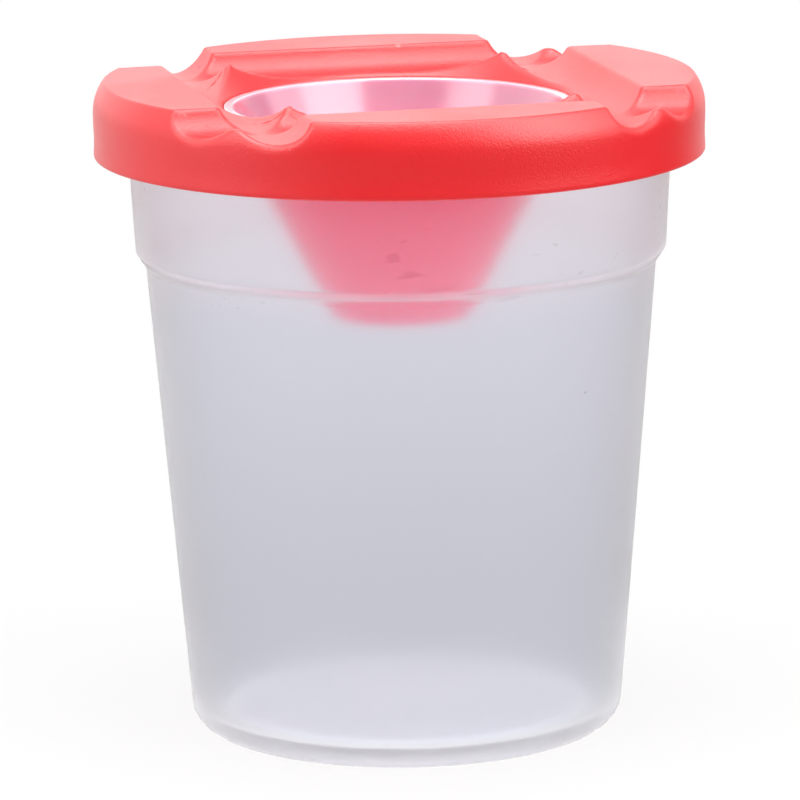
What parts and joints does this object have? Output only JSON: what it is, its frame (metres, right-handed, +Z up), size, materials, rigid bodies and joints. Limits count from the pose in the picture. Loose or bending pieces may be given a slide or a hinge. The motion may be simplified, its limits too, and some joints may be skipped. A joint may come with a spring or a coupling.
{
  "type": "brush washer",
  "caption": "Tapered frosted cup with a round lift-off lid whose crossed grooves rest brushes around a drop-in funnel that keeps the water from spilling.",
  "frame": {"origin": "centre of the foot, on the surface that the cup stands on", "axes": "+Z up along the cup's axis, +X and +Y along the brush rests"},
  "size_m": [0.0856, 0.0856, 0.0925],
  "materials": {
    "frosted_cup": "frosted translucent moulded polypropylene, soft sheen",
    "coral_lid": "fine matte moulded texture with a soft sheen",
    "pink_funnel": "glossy, slightly translucent moulded plastic"
  },
  "bodies": {
    "cup": {"cup": "frosted_cup"},
    "lid": {"lid": "coral_lid"},
    "funnel": {"funnel": "pink_funnel"}
  },
  "joints": [
    {"name": "lid_lift", "type": "slide", "parent": "cup", "child": "lid", "axis": [0, 0, 1], "range_m": [0, 0.06]},
    {"name": "funnel_lift", "type": "slide", "parent": "lid", "child": "funnel", "axis": [0, 0, 1], "range_m": [0, 0.045]}
  ]
}
